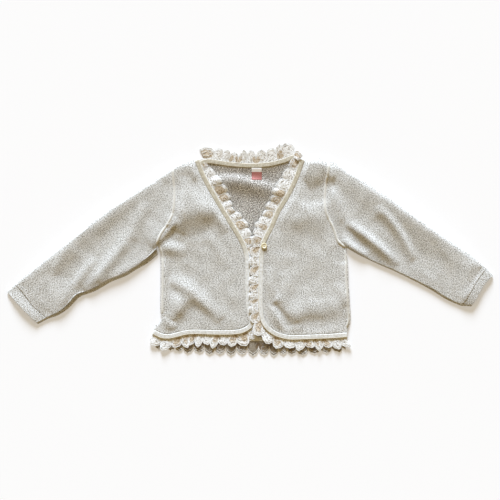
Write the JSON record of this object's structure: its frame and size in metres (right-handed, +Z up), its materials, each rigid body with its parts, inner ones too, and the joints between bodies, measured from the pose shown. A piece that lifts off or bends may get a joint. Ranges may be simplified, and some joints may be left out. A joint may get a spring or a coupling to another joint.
{
  "type": "child's knitted cardigan laid flat",
  "caption": "Long-sleeved cropped cardigan laid flat, front up, with a V neck, edge binding and gathered lace all round its edges.",
  "frame": {"origin": "middle of the whole outline, on the surface that the garment lies on", "axes": "+X to the wearer's left, from cuff to cuff, +Y from the hem to the neck, +Z up, out of the surface"},
  "size_m": [0.826, 0.3588, 0.0125],
  "materials": {
    "knit": "soft marl jersey knit",
    "band": "cream binding with a slight sheen",
    "lace": "cream embroidered net",
    "button": "shell lustre",
    "label": "smooth woven tape"
  },
  "bodies": {
    "root": {"back": "knit", "front_left": "knit", "front_right": "knit", "sleeve_left": "knit", "sleeve_right": "knit", "cuff_left": "knit", "cuff_right": "knit", "binding_left": "band", "binding_right": "band", "binding_neck": "band", "binding_hem_back": "band", "lace_left": "lace", "lace_right": "lace", "lace_neck": "lace", "lace_hem_back": "lace", "button": "button", "label": "label"}
  },
  "joints": []
}
